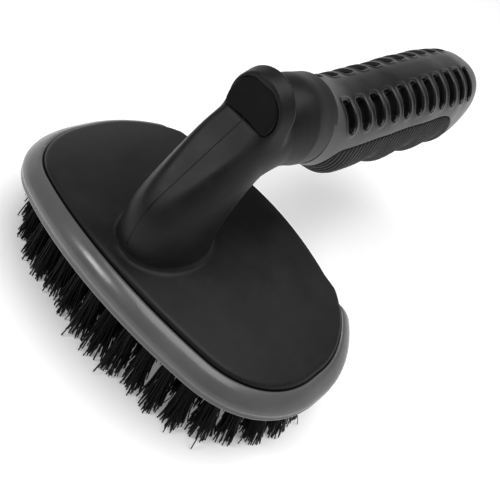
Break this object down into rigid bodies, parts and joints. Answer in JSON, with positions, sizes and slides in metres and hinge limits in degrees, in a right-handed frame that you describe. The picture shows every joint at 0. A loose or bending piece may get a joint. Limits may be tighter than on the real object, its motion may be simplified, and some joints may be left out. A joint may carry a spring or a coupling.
{
  "type": "wheel brush",
  "caption": "Hand wheel brush with an arched oval head, soft grey rim, black bristle tufts, a leaning neck with thumb stop, and a slotted soft grip.",
  "frame": {"origin": "middle of the flat bristle trim plane, under the middle of the head", "axes": "+X along the handle towards its butt, +Y along the head's long axis, +Z from the bristles up to the thumb stop"},
  "size_m": [0.2093, 0.1378, 0.1006],
  "materials": {
    "black_plastic": "satin moulded polypropylene with faint mottling",
    "grip_rubber": "black soft-touch rubber, semi-matt",
    "finger_rubber": "ribbed black rubber, darker and more matt than the sleeve",
    "pad_rubber": "smooth black soft rubber",
    "grey_rubber": "mid-grey soft rubber, semi-gloss",
    "bristle_nylon": "black crimped nylon filament",
    "steel": "plain zinc-plated steel"
  },
  "bodies": {
    "root": {"handle_body": "black_plastic", "brush_block": "black_plastic", "core_plug": "black_plastic", "thumb_pad": "pad_rubber", "grip_sleeve": "grip_rubber", "finger_grip": "finger_rubber", "rim_bumper": "grey_rubber", "block_screws": "steel", "bristles_ring_1": "bristle_nylon", "anchors_ring_1": "steel", "bristles_ring_2": "bristle_nylon", "anchors_ring_2": "steel", "bristles_ring_3": "bristle_nylon", "anchors_ring_3": "steel", "bristles_ring_4": "bristle_nylon", "anchors_ring_4": "steel", "bristles_centre_row": "bristle_nylon", "anchors_centre_row": "steel"}
  },
  "joints": []
}
